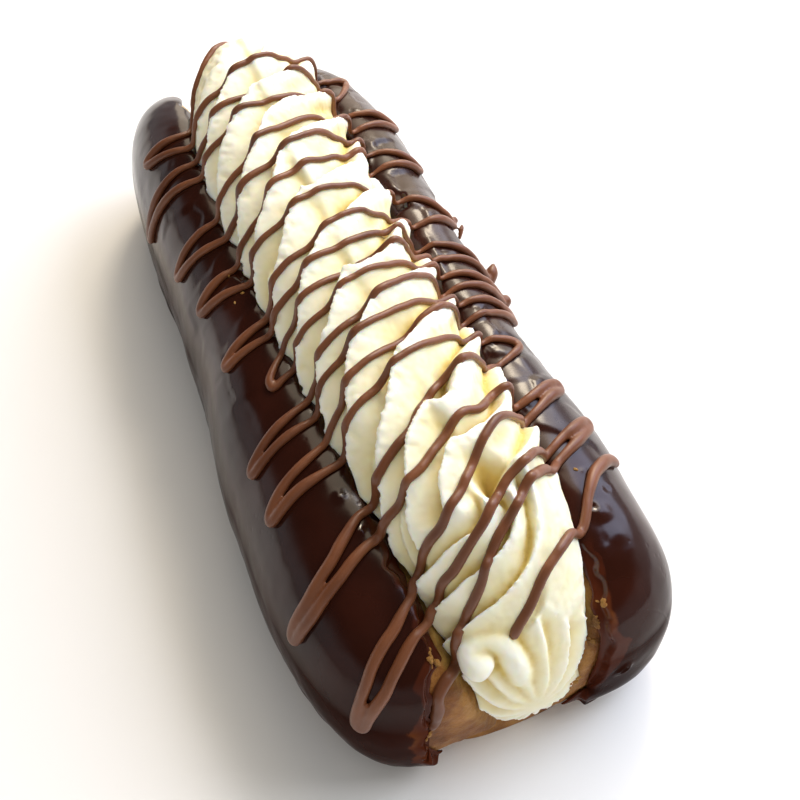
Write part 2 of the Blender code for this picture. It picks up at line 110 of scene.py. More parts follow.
# ---- piped cream --------------------------------------------------------------------------------
CREAM_START, CREAM_END = -64.5, 74.0
CREAM_MIDDLE = (-1.5, 34.5)     # across and up, the line that the cream lies round
CREAM_DRIFT = 2.6               # it lies this much further right at the near end
FAR_DRIFT = 2.6
CREAM_HALF_WIDTH = 15.6
CREAM_HALF_HEIGHT = 15.4
NEAR_BEND = (46.0, 28.0, 20.5)  # where the line starts to bend down, how long the bend is, how far it drops
FAR_BEND = (-40.5, 24.0, 1.0)
PLEAT_EDGES = (-62.0, -51.5, -41.5, -31.0, -21.5, -12.5, -2.0, 8.0, 17.5, 28.0, 37.0, 46.0, 56.0, 66.0)
PLEAT_DEPTHS = (4.6, 6.4, 5.6, 6.8, 5.8, 4.6, 6.8, 5.4, 6.8, 5.4, 6.8, 6.0, 5.0, 5.0)
PLEAT_LEAN = 1.05               # how much nearer a pleat runs per millimetre down its left side
PLEAT_TUCK = 0.7 * 2.6          # a pleat's edge hangs over the one before by up to this much
PLEAT_FACE = 0.74               # share of a pleat that is its broad face
CREST_STEP = 3.2                # the pleats' edges jog by about this much where they cross the top
RING_MIDDLE = (54.0, -6.5)      # the last coil goes round here: along X, and round the cream from its top
RING_EDGES = (0.0, 4.8, 8.5, 12.1, 16.5, 24.0)
RING_DEPTHS = (2.0, 3.2, 3.6, 4.2, 3.0, 3.0)
POCKET = (51.8, 2.2, 4.6, 4.2)  # a hollow by the last coil: along X, round the cream, its size and depth
RINGS_TAKE_OVER = (50.5, 4.5)   # from this X, over this length, the pleats turn into rings
FAN_START = 68.2                # from here the flutes fan down the front
FAN_PITCH = 7.6
FAN_DEPTH = 3.0
CURL = ((69.3, 1.8, 16.7), (70.9, -1.2, 22.1), (70.5, -2.1, 25.6), (68.9, -3.2, 28.1), (67.5, -5.4, 29.2),
        (67.3, -7.9, 28.4), (69.1, -7.9, 26.9), (71.3, -6.2, 26.4))
CURL_THICKNESS = (2.8, 2.4, 2.2, 1.9, 1.8, 2.0, 2.6, 3.0)
CORE_FLOOR = 6.0
CORE_HALF_WIDTH = 13.0
CREAM_GRAIN = 0.36
CREAM_LAYERS = ((0.20, 6.0, 2.0), (0.13, 2.2, 9.0), (0.07, 0.9, 7.0))    # unevenness, as the crust's

# ---- crumbs: X, Y, Z, how far they scatter, how many, how big ------------------------------------
CRUMBS = (
    (68.4, 12.9, 28.4, 0.8, 6, 0.34), (69.9, 11.9, 26.1, 0.9, 8, 0.36), (70.8, 10.7, 22.8, 0.9, 6, 0.30),
    (74.6, 8.0, 15.0, 1.6, 5, 0.30), (66.5, -14.1, 29.2, 1.0, 6, 0.34), (68.3, -13.3, 27.9, 1.0, 6, 0.36),
    (71.1, -12.5, 25.4, 1.2, 5, 0.32), (73.8, -16.0, 17.1, 1.8, 6, 0.32), (46.0, -17.0, 32.5, 2.0, 4, 0.30),
    (36.0, -17.5, 33.0, 3.0, 4, 0.26), (-8.0, -20.0, 34.0, 5.0, 6, 0.32), (12.0, -19.0, 34.0, 5.0, 4, 0.26),
    (48.0, 18.5, 33.5, 3.0, 4, 0.24), (24.0, 17.0, 34.0, 4.0, 4, 0.26),
)

# ---- milk chocolate drizzle ---------------------------------------------------------------------
# Each row is one loop of a single line that zigzags toward the near end. On the left lip: X where it comes
# over the lip's crest, where it turns, where it goes back, and how many degrees round from the top it turns.
# Then the same on the right.
DRIZZLE_LOOPS = (
    (-50.0, -49.0, -45.0, 56.0, -55.0, -55.0, -48.0, 47.0),
    (-40.0, -38.0, -35.0, 75.0, -42.0, -40.5, -37.5, 57.0),
    (-23.5, -20.5, -18.5, 63.0, -30.0, -26.0, -25.5, 54.0),
    (-11.5, -8.5, -6.5, 58.0, -15.5, -11.0, -9.0, 56.0),
    (2.5, 6.5, 6.0, 55.0, -3.5, 1.5, 0.5, 62.0),
    (10.0, 15.5, 14.5, 44.0, 4.5, 7.5, 7.5, 62.0),
    (21.5, 27.5, 25.0, 60.0, 11.5, 12.5, 15.0, 62.0),
    (30.0, 37.0, 34.5, 60.0, 20.5, 22.5, 26.0, 46.0),
)
DRIZZLE_START = ((-70.0, 16.0), (-66.0, 4.0), (-61.0, -12.0))
# the same line's last loops, by X and degrees round from the top, left negative
DRIZZLE_END = (
    (33.0, 3.0), (34.5, -1.0), (36.5, -6.0), (39.0, -10.0), (41.0, -17.0), (43.0, -24.0), (43.5, -37.0),
    (49.0, -48.0), (52.0, -60.0), (53.5, -72.0), (54.8, -72.0), (54.2, -61.0), (52.0, -49.0), (48.5, -38.0),
    (48.0, -23.0), (46.5, -13.0), (44.0, -7.0), (41.5, 0.0), (40.3, 4.5), (40.5, 9.0), (37.0, 16.0),
    (36.0, 28.0), (34.5, 37.0), (32.5, 45.0), (31.5, 51.5), (33.5, 51.5), (34.5, 45.0), (36.5, 39.0),
    (38.5, 32.0), (42.0, 18.0), (44.0, 9.5), (47.0, 3.0), (49.0, -1.0), (51.0, -4.0), (53.0, -8.0),
    (54.8, -14.0), (55.0, -20.0), (56.0, -30.0), (59.0, -38.0), (62.0, -45.0), (66.0, -62.0), (67.8, -78.0),
    (69.2, -78.0), (68.3, -60.0), (66.5, -51.0), (64.0, -42.0), (61.5, -34.0), (60.0, -26.0), (60.0, -18.0),
    (59.0, -11.0), (57.5, -4.0), (54.5, 2.0), (52.0, 8.0), (51.5, 12.0), (49.5, 17.0), (46.5, 29.0),
    (44.5, 37.0), (43.0, 41.0), (41.5, 46.0), (39.5, 54.0), (41.0, 54.5), (43.5, 47.0), (45.5, 41.0),
    (47.5, 35.0), (50.5, 26.0), (52.0, 18.0), (54.0, 11.0), (57.0, 6.0), (58.0, 2.0), (59.5, -2.5),
    (61.0, -6.5), (63.0, -11.0), (64.5, -17.0), (66.0, -25.5), (69.5, -36.0), (73.0, -44.5), (75.0, -54.5),
    (77.5, -62.0), (79.0, -77.0))
LAST_STRAND = ((47.2, 62.0), (47.5, 54.0), (50.0, 46.5), (53.5, 42.0), (56.0, 40.0), (58.0, 38.0),
               (59.5, 31.0), (59.5, 27.0), (62.0, 19.0), (64.5, 11.5), (68.5, 4.5), (72.0, -4.0),
               (74.5, -8.0))
# drips that set past the right turns: X, degrees round from the top, length, thickness
DRIPS = ((-9.0, 58.0, 3.0, 0.40), (2.0, 63.0, 4.8, 0.95), (8.0, 63.0, 2.8, 0.95), (-12.0, 57.0, 1.6, 0.7))
CREST = 37.0                    # degrees round from the top to the lips' crests
LINE_RADIUS = (0.64, 0.82)      # far and near
SPAN_RADIUS = 1.7               # the line bridges folds tighter than this
LINE_STEP = 0.3                 # between the stations of a line
LINE_FLATNESS = 0.88            # its height as a share of its width
DRIZZLE_GRAIN = 0.27

# ---- setting ------------------------------------------------------------------------------------
CAMERA_AIM = (0.0155, 0.0024, 0.020)
CAMERA_DISTANCE = 0.2205
CAMERA_AZIMUTH, CAMERA_ELEVATION = math.radians(67.4), math.radians(53.0)
CAMERA_LENS = 56.0
WALL_TOP, CEILING = 0.22, 0.48  # as the height of a direction: 13 and 29 degrees up
WALL_LIGHT, CEILING_LIGHT = 0.55, 0.04


# ---- small tools --------------------------------------------------------------------------------
def smooth_step(value):
    held = np.clip(value, 0.0, 1.0)
    return held * held * (3.0 - 2.0 * held)


def bump(value, middle, reach):
    """1 at the middle, easing to 0 at a reach to either side."""
    return 1.0 - smooth_step(np.abs(value - middle) / reach)


def wander(points, size, seed=0.0):
    """Smooth noise from -1 to 1 at each point, its lumps about this size in millimetres."""
    shift = Vector((seed, 2.7 * seed, -1.3 * seed))
    return np.array([noise.noise(Vector(p) / size + shift) for p in np.asarray(points, float).tolist()])


def uneven(points, layers, under=0.0):
    """Layers of smooth noise, each a height, a lump size and a seed, on top of what is under them."""
    return sum((height * wander(points, size, seed) for height, size, seed in layers), under)


def on_sheet(x, aside=0.0):
    """Places on a flat sheet, for noise that follows a skin or a line."""
    return np.stack([x, aside + 0.0 * x, 0.0 * x], axis=-1)


def averaged(line, weights):
    """A line of points, each column smoothed by these weights and its ends held."""
    held = np.pad(line, ((len(weights) // 2,) * 2, (0, 0)), mode="edge")
    return np.stack([np.convolve(column, weights, mode="valid") for column in held.T], axis=-1)


def only(piece):
    bpy.ops.object.select_all(action="DESELECT")
    piece.select_set(True)
    bpy.context.view_layer.objects.active = piece


def finished(piece, name, kind, **settings):
    """Adds one modifier with its settings and applies it."""
    only(piece)
    step = piece.modifiers.new(name, kind)
    for key, value in settings.items():
        setattr(step, key, value)
    bpy.ops.object.modifier_apply(modifier=name)


def one_skin(piece, grain):
    """Joins all that overlaps in a piece into one closed skin, made of cells of this size."""
    finished(piece, "One skin", "REMESH", mode="VOXEL", voxel_size=grain * MM, use_smooth_shade=True)


def joined(pieces, name):
    only(pieces[0])
    for piece in pieces[1:]:
        piece.select_set(True)
    bpy.ops.object.join()
    bpy.context.object.name = bpy.context.object.data.name = name
    return bpy.context.object


def points_of(piece):
    """Vertices in millimetres."""
    flat = np.empty(3 * len(piece.data.vertices))
    piece.data.vertices.foreach_get("co", flat)
    return flat.reshape(-1, 3) / MM


def set_points(piece, points):
    piece.data.vertices.foreach_set("co", np.ascontiguousarray(points * MM).ravel())
    piece.data.update()


def normals_of(piece):
    flat = np.empty(3 * len(piece.data.vertices))
    piece.data.vertices.foreach_get("normal", flat)
    return flat.reshape(-1, 3)


def set_attribute(piece, name, values):
    made = piece.data.attributes.new(name, "FLOAT", "POINT")
    made.data.foreach_set("value", np.ascontiguousarray(values, dtype=np.float32))


def shaped_skin(name, sides, rings, place):
    """A closed skin that starts as a ball. place(along, angle) gives each vertex its point in millimetres,
    along from 0 at one pole to 1 at the other and angle once round. sides is a multiple of four, so that the
    ball has a side at angle 0."""
    bpy.ops.object.select_all(action="DESELECT")
    bpy.ops.mesh.primitive_uv_sphere_add(segments=sides, ring_count=rings, radius=1.0)
    piece = bpy.context.object
    piece.name = piece.data.name = name
    ball = points_of(piece) * MM
    along = np.rint(np.arccos(np.clip(ball[:, 2], -1.0, 1.0)) / math.pi * rings) / rings
    angle = np.rint((np.arctan2(ball[:, 1], ball[:, 0]) % TAU) / TAU * sides) % sides * TAU / sides
    set_points(piece, place(along, angle))
    bpy.ops.object.mode_set(mode="EDIT")
    bpy.ops.mesh.select_all(action="SELECT")
    bpy.ops.mesh.normals_make_consistent(inside=False)
    bpy.ops.object.mode_set(mode="OBJECT")
    bpy.ops.object.shade_smooth()
    return piece


def along_path(points, shares):
    """A smooth curve through the points (Catmull-Rom), at shares of the way from 0 to 1."""
    points = np.asarray(points, float)
    held = np.concatenate([2 * points[:1] - points[1:2], points, 2 * points[-1:] - points[-2:-1]])
    place = np.clip(shares, 0.0, 1.0) * (len(points) - 1)
    first = np.minimum(place.astype(int), len(points) - 2)
    t = (place - first).reshape(-1, *[1] * (points.ndim - 1))
    before, here, there, after = (held[first + k] for k in range(4))
    return 0.5 * (2 * here + (there - before) * t + (2 * before - 5 * here + 4 * there - after) * t ** 2
                  + (3 * here - before - 3 * there + after) * t ** 3)


def rope_skin(points, radii, along, angle):
    """A round rope along a smooth path, closed round at both ends."""
    middle = along_path(points, along)
    ahead = along_path(points, along + 0.002) - along_path(points, along - 0.002)
    ahead = ahead / np.linalg.norm(ahead, axis=1, keepdims=True)
    out = np.cross(ahead, np.array([0.30, 0.10, 0.95]))
    out = out / np.linalg.norm(out, axis=1, keepdims=True)
    up = np.cross(out, ahead)
    size = (1.0 - np.abs(2.0 * along - 1.0) ** 8) ** 0.5
    thick = along_path(radii, along) * size
    return middle + out * (thick * np.cos(angle))[:, None] + up * (thick * np.sin(angle))[:, None]


def edges_of(piece):
    flat = np.empty(2 * len(piece.data.edges), dtype=np.int64)
    piece.data.edges.foreach_get("vertices", flat)
    return flat.reshape(-1, 2)


def neighbour_mean(values, edges):
    """Each vertex's values averaged over its neighbours."""
    count = len(values)
    share = np.bincount(edges.ravel(), minlength=count)
    total = np.zeros_like(values)
    for axis in range(values.shape[1]):
        column = values[:, axis]
        total[:, axis] = (np.bincount(edges[:, 0], weights=column[edges[:, 1]], minlength=count)
                          + np.bincount(edges[:, 1], weights=column[edges[:, 0]], minlength=count))
    return total / np.maximum(share, 1)[:, None]


def softened(piece, rounds, strength=0.5):
    points, edges = points_of(piece), edges_of(piece)
    for _ in range(rounds):
        points = points + strength * (neighbour_mean(points, edges) - points)
    set_points(piece, points)


def height_over_smoothed(piece, rounds):
    """How far each vertex stands out from a much smoothed copy of its piece, in millimetres."""
    points, edges, normals = points_of(piece), edges_of(piece), normals_of(piece)
    smooth = points
    for _ in range(rounds):
        smooth = smooth + 0.6 * (neighbour_mean(smooth, edges) - smooth)
    return ((points - smooth) * normals).sum(axis=1)


# ---- materials ----------------------------------------------------------------------------------
def colour(code):
    """sRGB hex to the linear colour that a shader takes."""
    parts = [int(code[k:k + 2], 16) / 255.0 for k in (1, 3, 5)]
    return (*[p / 12.92 if p <= 0.04045 else ((p + 0.055) / 1.055) ** 2.4 for p in parts], 1.0)


def feed(tree, node, **inputs):
    """Gives a node's inputs a socket or a plain value each: by name, or by n and a number."""
    for key, value in inputs.items():
        by_number = key[0] == "n" and key[1:].isdigit()
        socket = node.inputs[int(key[1:]) if by_number else key.replace("_", " ")]
        if isinstance(value, bpy.types.NodeSocket):
            tree.links.new(value, socket)
        else:
            socket.default_value = value


def add(tree, kind, settings=(), **inputs):
    """Adds a node with its settings and inputs."""
    node = tree.nodes.new(kind)
    for key, value in dict(settings).items():
        setattr(node, key, value)
    feed(tree, node, **inputs)
    return node


def new_material(name):
    made = bpy.data.materials.new(name)
    made.use_nodes = True
    return made, made.node_tree, made.node_tree.nodes["Principled BSDF"]


def ramp(tree, factor, stops):
    """Colours along a factor: stops are (place, hex)."""
    node = add(tree, "ShaderNodeValToRGB", Fac=factor)
    band = node.color_ramp
    while len(band.elements) < len(stops):
        band.elements.new(0.5)
    for element, (place, code) in zip(band.elements, stops):
        element.position = place
        element.color = colour(code)
    return node.outputs["Color"]


def whipped_cream():
    """Whipped cream: fat foam that light goes into, glowing ivory, with painted shade darker and yellower
    down its folds.
    """
    made, tree, shader = new_material("Whipped cream")
    place = add(tree, "ShaderNodeTexCoord").outputs["Object"]
    # painted shade: the fold attribute makes the cream darker and yellower where its skin lies in, down its
    # folds
    fold = add(tree, "ShaderNodeAttribute", {"attribute_name": "fold"}).outputs["Fac"]
    cloud = add(tree, "ShaderNodeTexNoise", Vector=place, Scale=70.0, Detail=3.0).outputs["Fac"]
    mottled_and_fold_shade = add(tree, "ShaderNodeMath", {"operation": "MULTIPLY_ADD"}, n0=cloud, n1=0.16,
                  n2=fold).outputs[0]
    # random mottling of the cream's own tone, plus painted shade toward ochre in the folds
    tint = ramp(tree, mottled_and_fold_shade, ((0.12, "#a87f28"), (0.40, "#dcc374"), (0.60, "#efe6bc"), (0.80, "#f9f7e6")))
    # pits about 0.3 mm across, where small bubbles broke at the nozzle
    pits = add(tree, "ShaderNodeTexVoronoi", Vector=place, Scale=420.0).outputs["Distance"]
    pit = add(tree, "ShaderNodeMapRange", n0=pits, n1=0.0, n2=0.16, n3=0.0, n4=1.0).outputs[0]
    grain = add(tree, "ShaderNodeTexNoise", Vector=place, Scale=900.0, Detail=3.0).outputs["Fac"]
    raised = add(tree, "ShaderNodeMath", {"operation": "MULTIPLY_ADD"}, n0=grain, n1=0.35, n2=pit).outputs[0]
    relief = add(tree, "ShaderNodeBump", Height=raised, Strength=0.25, Distance=0.0002).outputs["Normal"]
    feed(tree, shader, Base_Color=tint, Normal=relief, Roughness=0.42, IOR=1.42, Specular_IOR_Level=0.4,
         Subsurface_Weight=0.5, Subsurface_Radius=(1.0, 0.72, 0.34), Subsurface_Scale=0.0011)
    return made


def dark_chocolate():
    """Poured dark chocolate set glossy: nearly black brown, redder and see-through where it ran thin."""
    made, tree, shader = new_material("Dark chocolate")
    place = add(tree, "ShaderNodeTexCoord").outputs["Object"]
    film = add(tree, "ShaderNodeAttribute", {"attribute_name": "film"}).outputs["Fac"]
    cloud = add(tree, "ShaderNodeTexNoise", Vector=place, Scale=60.0, Detail=4.0).outputs["Fac"]
    deep = ramp(tree, cloud, ((0.35, "#240d06"), (0.70, "#33150c")))
    thin = ramp(tree, cloud, ((0.32, "#2e1008"), (0.55, "#4c2110"), (0.75, "#7a4822")))
    tint = add(tree, "ShaderNodeMix", {"data_type": "RGBA"}, n0=film, n6=deep, n7=thin).outputs[2]
    bloom = add(tree, "ShaderNodeTexNoise", Vector=place, Scale=150.0, Detail=5.0).outputs["Fac"]
    gloss = add(tree, "ShaderNodeMapRange", n0=bloom, n1=0.3, n2=0.7, n3=0.10, n4=0.22).outputs[0]
    # along the right lip it set satin
    satin = add(tree, "ShaderNodeAttribute", {"attribute_name": "satin"}).outputs["Fac"]
    sheen = add(tree, "ShaderNodeMath", {"operation": "MULTIPLY_ADD"}, n0=satin, n1=0.09, n2=gloss).outputs[0]
    # burst bubbles 0.4 mm across, in patches
    bubbles = add(tree, "ShaderNodeTexVoronoi", Vector=place, Scale=650.0).outputs["Distance"]
    hole = add(tree, "ShaderNodeMapRange", n0=bubbles, n1=0.05, n2=0.30, n3=1.0, n4=0.0).outputs[0]
    patches = add(tree, "ShaderNodeTexNoise", Vector=place, Scale=85.0, Detail=2.0).outputs["Fac"]
    where = add(tree, "ShaderNodeMapRange", n0=patches, n1=0.54, n2=0.66, n3=0.0, n4=1.0).outputs[0]
    holes = add(tree, "ShaderNodeMath", {"operation": "MULTIPLY"}, n0=hole, n1=where).outputs[0]
    ripple = add(tree, "ShaderNodeTexNoise", Vector=place, Scale=240.0, Detail=3.0).outputs["Fac"]
    raised = add(tree, "ShaderNodeMath", {"operation": "MULTIPLY_ADD"}, n0=holes, n1=-0.8,
                 n2=ripple).outputs[0]
    relief = add(tree, "ShaderNodeBump", Height=raised, Strength=0.10, Distance=0.0003).outputs["Normal"]
    # the sides set duller than the crown
    height = add(tree, "ShaderNodeSeparateXYZ", Vector=place).outputs["Z"]
    shine = add(tree, "ShaderNodeMapRange", n0=height, n1=0.019, n2=0.033, n3=0.010, n4=0.52).outputs[0]
    feed(tree, shader, Base_Color=tint, Normal=relief, Roughness=sheen, IOR=1.48, Specular_IOR_Level=shine)
    return made


def milk_chocolate():
    """Milk chocolate piped warm in a thin line: mid brown, satin."""
    made, tree, shader = new_material("Milk chocolate")
    place = add(tree, "ShaderNodeTexCoord").outputs["Object"]
    cloud = add(tree, "ShaderNodeTexNoise", Vector=place, Scale=110.0, Detail=4.0).outputs["Fac"]
    tint = ramp(tree, cloud, ((0.30, "#603721"), (0.70, "#7a4a2e")))
    ripple = add(tree, "ShaderNodeTexNoise", Vector=place, Scale=700.0, Detail=3.0).outputs["Fac"]
    relief = add(tree, "ShaderNodeBump", Height=ripple, Strength=0.15, Distance=0.0002).outputs["Normal"]
    feed(tree, shader, Base_Color=tint, Normal=relief, Roughness=0.36, IOR=1.48)
    return made


def choux_pastry():
    """Choux baked brown outside; its cut walls show pale, open, egg-yellow crumb."""
    made, tree, shader = new_material("Choux pastry")
    place = add(tree, "ShaderNodeTexCoord").outputs["Object"]
    crumb = add(tree, "ShaderNodeAttribute", {"attribute_name": "crumb"}).outputs["Fac"]
    cloud = add(tree, "ShaderNodeTexNoise", Vector=place, Scale=120.0, Detail=6.0,
                Roughness=0.65).outputs["Fac"]
    crust = ramp(tree, cloud, ((0.30, "#4f2b10"), (0.46, "#824f1f"), (0.60, "#a87337"), (0.78, "#c99c5c")))
    inside = ramp(tree, cloud, ((0.32, "#84602c"), (0.55, "#b5904a"), (0.75, "#d2b87a")))
    tint = add(tree, "ShaderNodeMix", {"data_type": "RGBA"}, n0=crumb, n6=crust, n7=inside).outputs[2]
    blister = add(tree, "ShaderNodeTexNoise", Vector=place, Scale=600.0, Detail=6.0,
                  Roughness=0.7).outputs["Fac"]
    relief = add(tree, "ShaderNodeBump", Height=blister, Strength=0.75, Distance=0.0010).outputs["Normal"]
    feed(tree, shader, Base_Color=tint, Normal=relief, Roughness=0.55, IOR=1.42, Subsurface_Weight=0.12,
         Subsurface_Radius=(1.0, 0.5, 0.2), Subsurface_Scale=0.001)
    return made


def painted(piece, material):
    piece.data.materials.clear()
    piece.data.materials.append(material)
    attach(piece, "root")


# ---- lobes of the bun ---------------------------------------------------------------------------
def middle_and_half(lobe):
    return 0.5 * (lobe["near_tip"] + lobe["far_tip"]), 0.5 * (lobe["near_tip"] - lobe["far_tip"])


def end_closing(lobe, x):
    """Size of a section at x as a share of its full size: 1 along the middle, 0 at both tips."""
    middle, half = middle_and_half(lobe)
    along = np.clip(np.abs((x - middle) / half), 0.0, 1.0)
    return (1.0 - along ** BLUNTNESS) ** (1.0 / BLUNTNESS)


def lobe_half_width(lobe, x):
    widths = lobe["widths"]
    result = np.full(np.shape(x), float(widths[0][1]))
    for (here, width), (there, next_width) in zip(widths, widths[1:]):
        result = result + (next_width - width) * smooth_step((x - here) / (there - here))
    return result


def lobe_reach(lobe, x, angle):
    """Distance from the lobe's middle to its skin, along an angle up from straight outward."""
    out, up = np.cos(angle), np.sin(angle)
    half_across = (lobe_half_width(lobe, x) - LOBE_MIDDLE[0]) * np.where(out < 0.0, 2.0, 1.0)
    half_up = lobe["crown"] - LOBE_MIDDLE[1]
    round_limit = (np.abs(out) / half_across) ** ROUNDNESS + (np.abs(up) / half_up) ** ROUNDNESS
    wall_distance = LOBE_MIDDLE[0] * math.cos(SLIT_TILT) - (LOBE_MIDDLE[1] - GROOVE_Z) * math.sin(SLIT_TILT)
    toward_wall = up * math.sin(SLIT_TILT) - out * math.cos(SLIT_TILT)
    limits = (round_limit ** (1.0 / ROUNDNESS), np.maximum(toward_wall, 0.0) / wall_distance,
              np.maximum(-up, 0.0) / (LOBE_MIDDLE[1] + SINK))
    total = sum(limit ** CORNER_SHARPNESS for limit in limits)
    lumps = 1.0 + 0.010 * np.sin(x / 9.0 + 2.0 * angle) * np.sin(x / 23.0 + lobe["side"])
    return lumps * total ** (-1.0 / CORNER_SHARPNESS)


def lobe_x(lobe, along):
    """X of a station, crowded toward both tips, where the skin curves most."""
    middle, half = middle_and_half(lobe)
    return middle - half * np.cos(math.pi * along)


def lobe_skin(lobe, along, angle):
    x = lobe_x(lobe, along)
    reach = lobe_reach(lobe, x, angle)
    size = end_closing(lobe, x)
    across = LOBE_POLE[0] + size * (LOBE_MIDDLE[0] + reach * np.cos(angle) - LOBE_POLE[0])
    up = LOBE_POLE[1] + size * (LOBE_MIDDLE[1] + reach * np.sin(angle) - LOBE_POLE[1])
    return np.stack([x + 0.0 * angle, lobe["side"] * across, up], axis=-1)


def lobe_normal(lobe, along, angle):
    step_along, step_angle = 0.0015, 0.004
    held = np.clip(along, 2.0 * step_along, 1.0 - 2.0 * step_along)
    round_it = lobe_skin(lobe, held, angle + step_angle) - lobe_skin(lobe, held, angle - step_angle)
    along_it = lobe_skin(lobe, held + step_along, angle) - lobe_skin(lobe, held - step_along, angle)
    normal = np.cross(round_it, along_it) * lobe["side"]
    return normal / np.linalg.norm(normal, axis=-1, keepdims=True)


def depth_from_wall(lobe, points):
    """How far points lie from the slit's cut wall, into the lobe."""
    size = end_closing(lobe, points[..., 0])
    foot_across = LOBE_POLE[0] * (1.0 - size)
    foot_up = LOBE_POLE[1] + size * (GROOVE_Z - LOBE_POLE[1])
    return ((points[..., 1] * lobe["side"] - foot_across) * math.cos(SLIT_TILT)
            - (points[..., 2] - foot_up) * math.sin(SLIT_TILT))


def build_bun():
    """Two lobes joined under the slit, one skin, flat underneath, rough where it shows."""
    skins = [shaped_skin(f"bun_{name}", 152, 260,
                         lambda along, angle, lobe=lobe: lobe_skin(lobe, along, angle))
             for name, lobe in LOBES.items()]
    half_length = NEAR_TIP - HINGE_INSET

    def hinge(along, angle):
        x = -half_length * np.cos(math.pi * along)
        size = (1.0 - np.clip(np.abs(x / half_length), 0.0, 1.0) ** 5) ** 0.2
        return np.stack([x, HINGE_HALF_WIDTH * size * np.cos(angle),
                         HINGE_MIDDLE_Z + (GROOVE_Z - HINGE_MIDDLE_Z) * size * np.sin(angle)], axis=-1)

    bun = joined(skins + [shaped_skin("bun_hinge", 60, 120, hinge)], "bun")
    one_skin(bun, BUN_GRAIN)
    softened(bun, 2)
    points, normals = points_of(bun), normals_of(bun)
    off_table = smooth_step((points[:, 2] - 0.2) / 1.5)
    set_points(bun, points + normals * ((uneven(points, CRUST_LAYERS) - CRUST_SUNK) * off_table)[:, None])
    only(bun)
    bpy.ops.object.mode_set(mode="EDIT")
    bpy.ops.mesh.select_all(action="SELECT")
    bpy.ops.mesh.bisect(plane_co=(0.0, 0.0, 0.0), plane_no=(0.0, 0.0, 1.0), use_fill=True, clear_inner=True)
    bpy.ops.object.mode_set(mode="OBJECT")
    points = points_of(bun)
    nearest = np.minimum(*[np.abs(depth_from_wall(lobe, points)) for lobe in LOBES.values()])
    inside = (1.0 - smooth_step((nearest - 0.5) / 0.8)) * smooth_step((points[:, 2] - 2.5) / 2.0)
    past = points[:, 0] - CRUMB_ENDS + 0.8 * wander(points, 2.5, 4.0)
    inside = inside * (1.0 - 0.8 * smooth_step(past / 2.5))
    set_attribute(bun, "crumb", inside)
    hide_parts("choux_bun")
    painted(bun, choux_pastry())
    return bun


# ---- chocolate coats ----------------------------------------------------------------------------
def skirt_height(points):
    """How high above the table the coat ends: wavy, and higher between the lobes, where none runs."""
    x, y = points[..., 0], points[..., 1]
    wave = (SKIRT_Z + 0.7 * np.sin(x / 7.0 + 0.2 * y) + 0.5 * np.sin(x / 3.1 - 0.3 * y)
            + 0.3 * np.sin(x / 1.1 + y))
    for mark_x, mark_y, reach, change in SKIRT_MARKS:
        wave = wave + change * bump(np.hypot(x - mark_x, y - mark_y), 0.0, reach)
    return np.maximum(0.5, wave + 9.0 * np.exp(-((y + 1.0) / 9.0) ** 2))


def first_angle(angles, stop):
    """For each station, the angle where stop first holds along the row of angles."""
    return angles[np.argmax(stop, axis=1)]


def bare_depth(lobe, points):
    """How far in from the slit's wall the crust stays bare: a ragged line, wider over the left near end."""
    marks = np.linspace(-77.0, 77.0, 617)
    line = on_sheet(marks)
    ragged = 0.5 + 0.7 * wander(line, 5.5, 2.0 + lobe["side"]) + 0.35 * wander(line, 1.8, 6.0 + lobe["side"])
    x, z = points[..., 0], points[..., 2]
    bare = EDGE_INSET + np.maximum(0.0, np.interp(x, marks, ragged))
    if lobe["side"] > 0.0:
        return bare
    jagged = 0.5 * np.sin(1.1 * z + 0.4 * x) + 0.18 * np.sin(3.1 * z)
    first, ease, width, widening = BARE_NEAR_LEFT
    return bare + (width + widening * np.maximum(0.0, 23.0 - z) + jagged) * smooth_step((x - first) / ease)


def coat_edges(lobe, along):
    """Angles of the coat's two edges at each station: at the slit, and above the table."""
    up_and_in = np.radians(np.linspace(EDGE_SEARCH, 205.0, 700))
    out_and_down = np.radians(np.linspace(EDGE_SEARCH, -175.0, 900))
    rows = lobe_skin(lobe, along[:, None], up_and_in[None, :])
    slit = first_angle(up_and_in, depth_from_wall(lobe, rows) < bare_depth(lobe, rows))
    rows = lobe_skin(lobe, along[:, None], out_and_down[None, :])
    done = (rows[..., 2] < skirt_height(rows)) | (depth_from_wall(lobe, rows) < bare_depth(lobe, rows))
    return slit, first_angle(out_and_down, done)


def film_share(name, lobe, points):
    """1 where the coat is so thin that the crust shows: a strip by the slit, and the right near face."""
    first, width = FILM_STRIPS[name]
    x, y, z = points[:, 0], np.abs(points[:, 1]), points[:, 2]
    ragged = 0.8 * wander(points, 3.0, 13.0) + 0.25 * wander(points, 1.1, 3.0)
    over_edge = depth_from_wall(lobe, points) - bare_depth(lobe, points)
    strip = smooth_step((width + ragged - over_edge) / 0.5) * smooth_step((x - first) / 6.0)
    if name == "left":
        return strip
    face = smooth_step((x - 69.5) / 1.5) * smooth_step((10.5 + ragged - y) / 1.0)
    return np.maximum(strip, face * smooth_step((22.5 + ragged - z) / 1.5))


